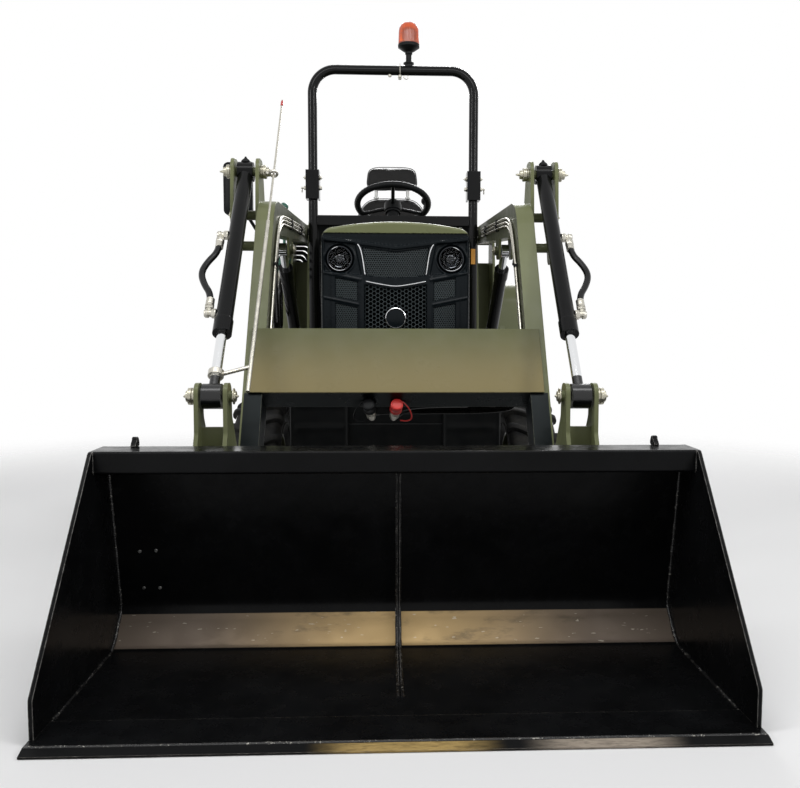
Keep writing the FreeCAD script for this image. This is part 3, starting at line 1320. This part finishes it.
def mirror():
    """The mirror on its arm, outside the right tower."""
    half = mirror_width / 2.0
    c = mirror_centre
    shell = front_plate([(c.x - half, c.z - mirror_height / 2.0), (c.x + half, c.z - mirror_height / 2.0),
                         (c.x + half, c.z + mirror_height / 2.0), (c.x - half, c.z + mirror_height / 2.0)],
                        c.y, c.y + 30.0, 24.0)
    foot = V(-outer_plate_x1, pivot_y + 40.0, pivot_z - 90.0)
    arm = tube_path([foot, foot + V(-110.0, 0, 0), V(c.x, c.y + 60.0, c.z - 60.0),
                     V(c.x, c.y + 60.0, c.z + 10.0)], 8.0, 24.0)
    joint = block(c.x - 14.0, c.x + 14.0, c.y + 29.0, c.y + 68.0, c.z - 14.0, c.z + 14.0)
    return join([shell, arm, joint])


def rear_lamps():
    """A lamp on the rear of each mudguard."""
    y = rear_axle_y + rear_tyre_radius + fender_gap
    lamps = []
    for side in (-1, 1):
        x0 = side * 600.0 - 50.0
        lamps.append(block(x0, x0 + 100.0, y - 260.0, y - 200.0, fender_flat_z + seat_gap,
                           fender_flat_z + 60.0))
    return Part.makeCompound(lamps)


# ------------------------------------------------------------------ build
def front_tyre(side):
    """A front tyre."""
    return tyre(side, front_hub_x, front_axle_y, front_tyre_radius, front_tyre_width,
                front_rim_radius)


def rear_tyre(side):
    """A rear tyre."""
    return tyre(side, rear_hub_x, rear_axle_y, rear_tyre_radius, rear_tyre_width, rear_rim_radius)


def front_rim(side):
    """A front rim, its disc to the outside."""
    return rim(side, front_hub_x, front_axle_y, front_tyre_radius, front_tyre_width,
               front_rim_radius, hub_radius, hub_neck_radius, -12.0, 5, 56.0)


def rear_rim(side):
    """A rear rim, its disc dished inwards."""
    return rim(side, rear_hub_x, rear_axle_y, rear_tyre_radius, rear_tyre_width, rear_rim_radius,
               rear_hub_radius, rear_hub_radius, -rear_tyre_width * 0.4, 8, 70.0)


def chassis_with_brackets():
    """The transmission with the lower links' pins."""
    return join([transmission()] + link_brackets())


makers = {
    "engine": engine,
    "transmission": chassis_with_brackets,
    "front_frame": front_frame,
    "front_axle": front_axle,
    "knuckle_left": lambda: knuckle(1),
    "knuckle_right": lambda: knuckle(-1),
    "tie_rod": tie_rod,
    "front_tyre_left": lambda: front_tyre(1),
    "front_tyre_right": lambda: front_tyre(-1),
    "front_rim_left": lambda: front_rim(1),
    "front_rim_right": lambda: front_rim(-1),
    "rear_tyre_left": lambda: rear_tyre(1),
    "rear_tyre_right": lambda: rear_tyre(-1),
    "rear_rim_left": lambda: rear_rim(1),
    "rear_rim_right": lambda: rear_rim(-1),
    "hood": hood,
    "grille": grille,
    "headlights": headlights,
    "dash_cowl": dash_cowl,
    "steering_wheel": steering_wheel,
    "platform": platform,
    "fender_left": lambda: fender(1),
    "fender_right": lambda: fender(-1),
    "seat_base": seat_base,
    "seat_cushion": seat_cushion,
    "seat_back": seat_back,
    "rops_base": rops_base,
    "rops_upper": rops_upper,
    "beacon": beacon,
    "tower_left": lambda: tower(1),
    "tower_right": lambda: tower(-1),
    "loader_frame": loader_frame,
    "boom_arm_left": lambda: boom_arm(1),
    "boom_arm_right": lambda: boom_arm(-1),
    "crossbeam": crossbeam,
    "tilt_barrels": tilt_barrels,
    "tilt_rods": tilt_rods,
    "level_rod": level_rod,
    "lift_barrels": lift_barrels,
    "lift_rods": lift_rods,
    "tilt_hose_left": lambda: tilt_hose(1),
    "tilt_hose_right": lambda: tilt_hose(-1),
    "bucket_shell": bucket_shell,
    "cutting_edge": cutting_edge,
    "bucket_carrier": bucket_carrier,
    "lower_links": lower_links,
    "lift_arms": lift_arms,
    "lift_links": lift_links,
    "drawbar": drawbar,
    "pto_shaft": pto_shaft,
    "valve_block": valve_block,
    "mirror": mirror,
    "rear_lamps": rear_lamps,
}

os.makedirs("parts", exist_ok=True)
for name, make in makers.items():
    shape = make()
    box = shape.BoundBox
    print("%-18s solids %d valid %s x %.0f %.0f y %.0f %.0f z %.0f %.0f"
          % (name, len(shape.Solids), shape.isValid(), box.XMin, box.XMax, box.YMin, box.YMax,
             box.ZMin, box.ZMax))
    shape.exportStep("parts/%s.step" % name)
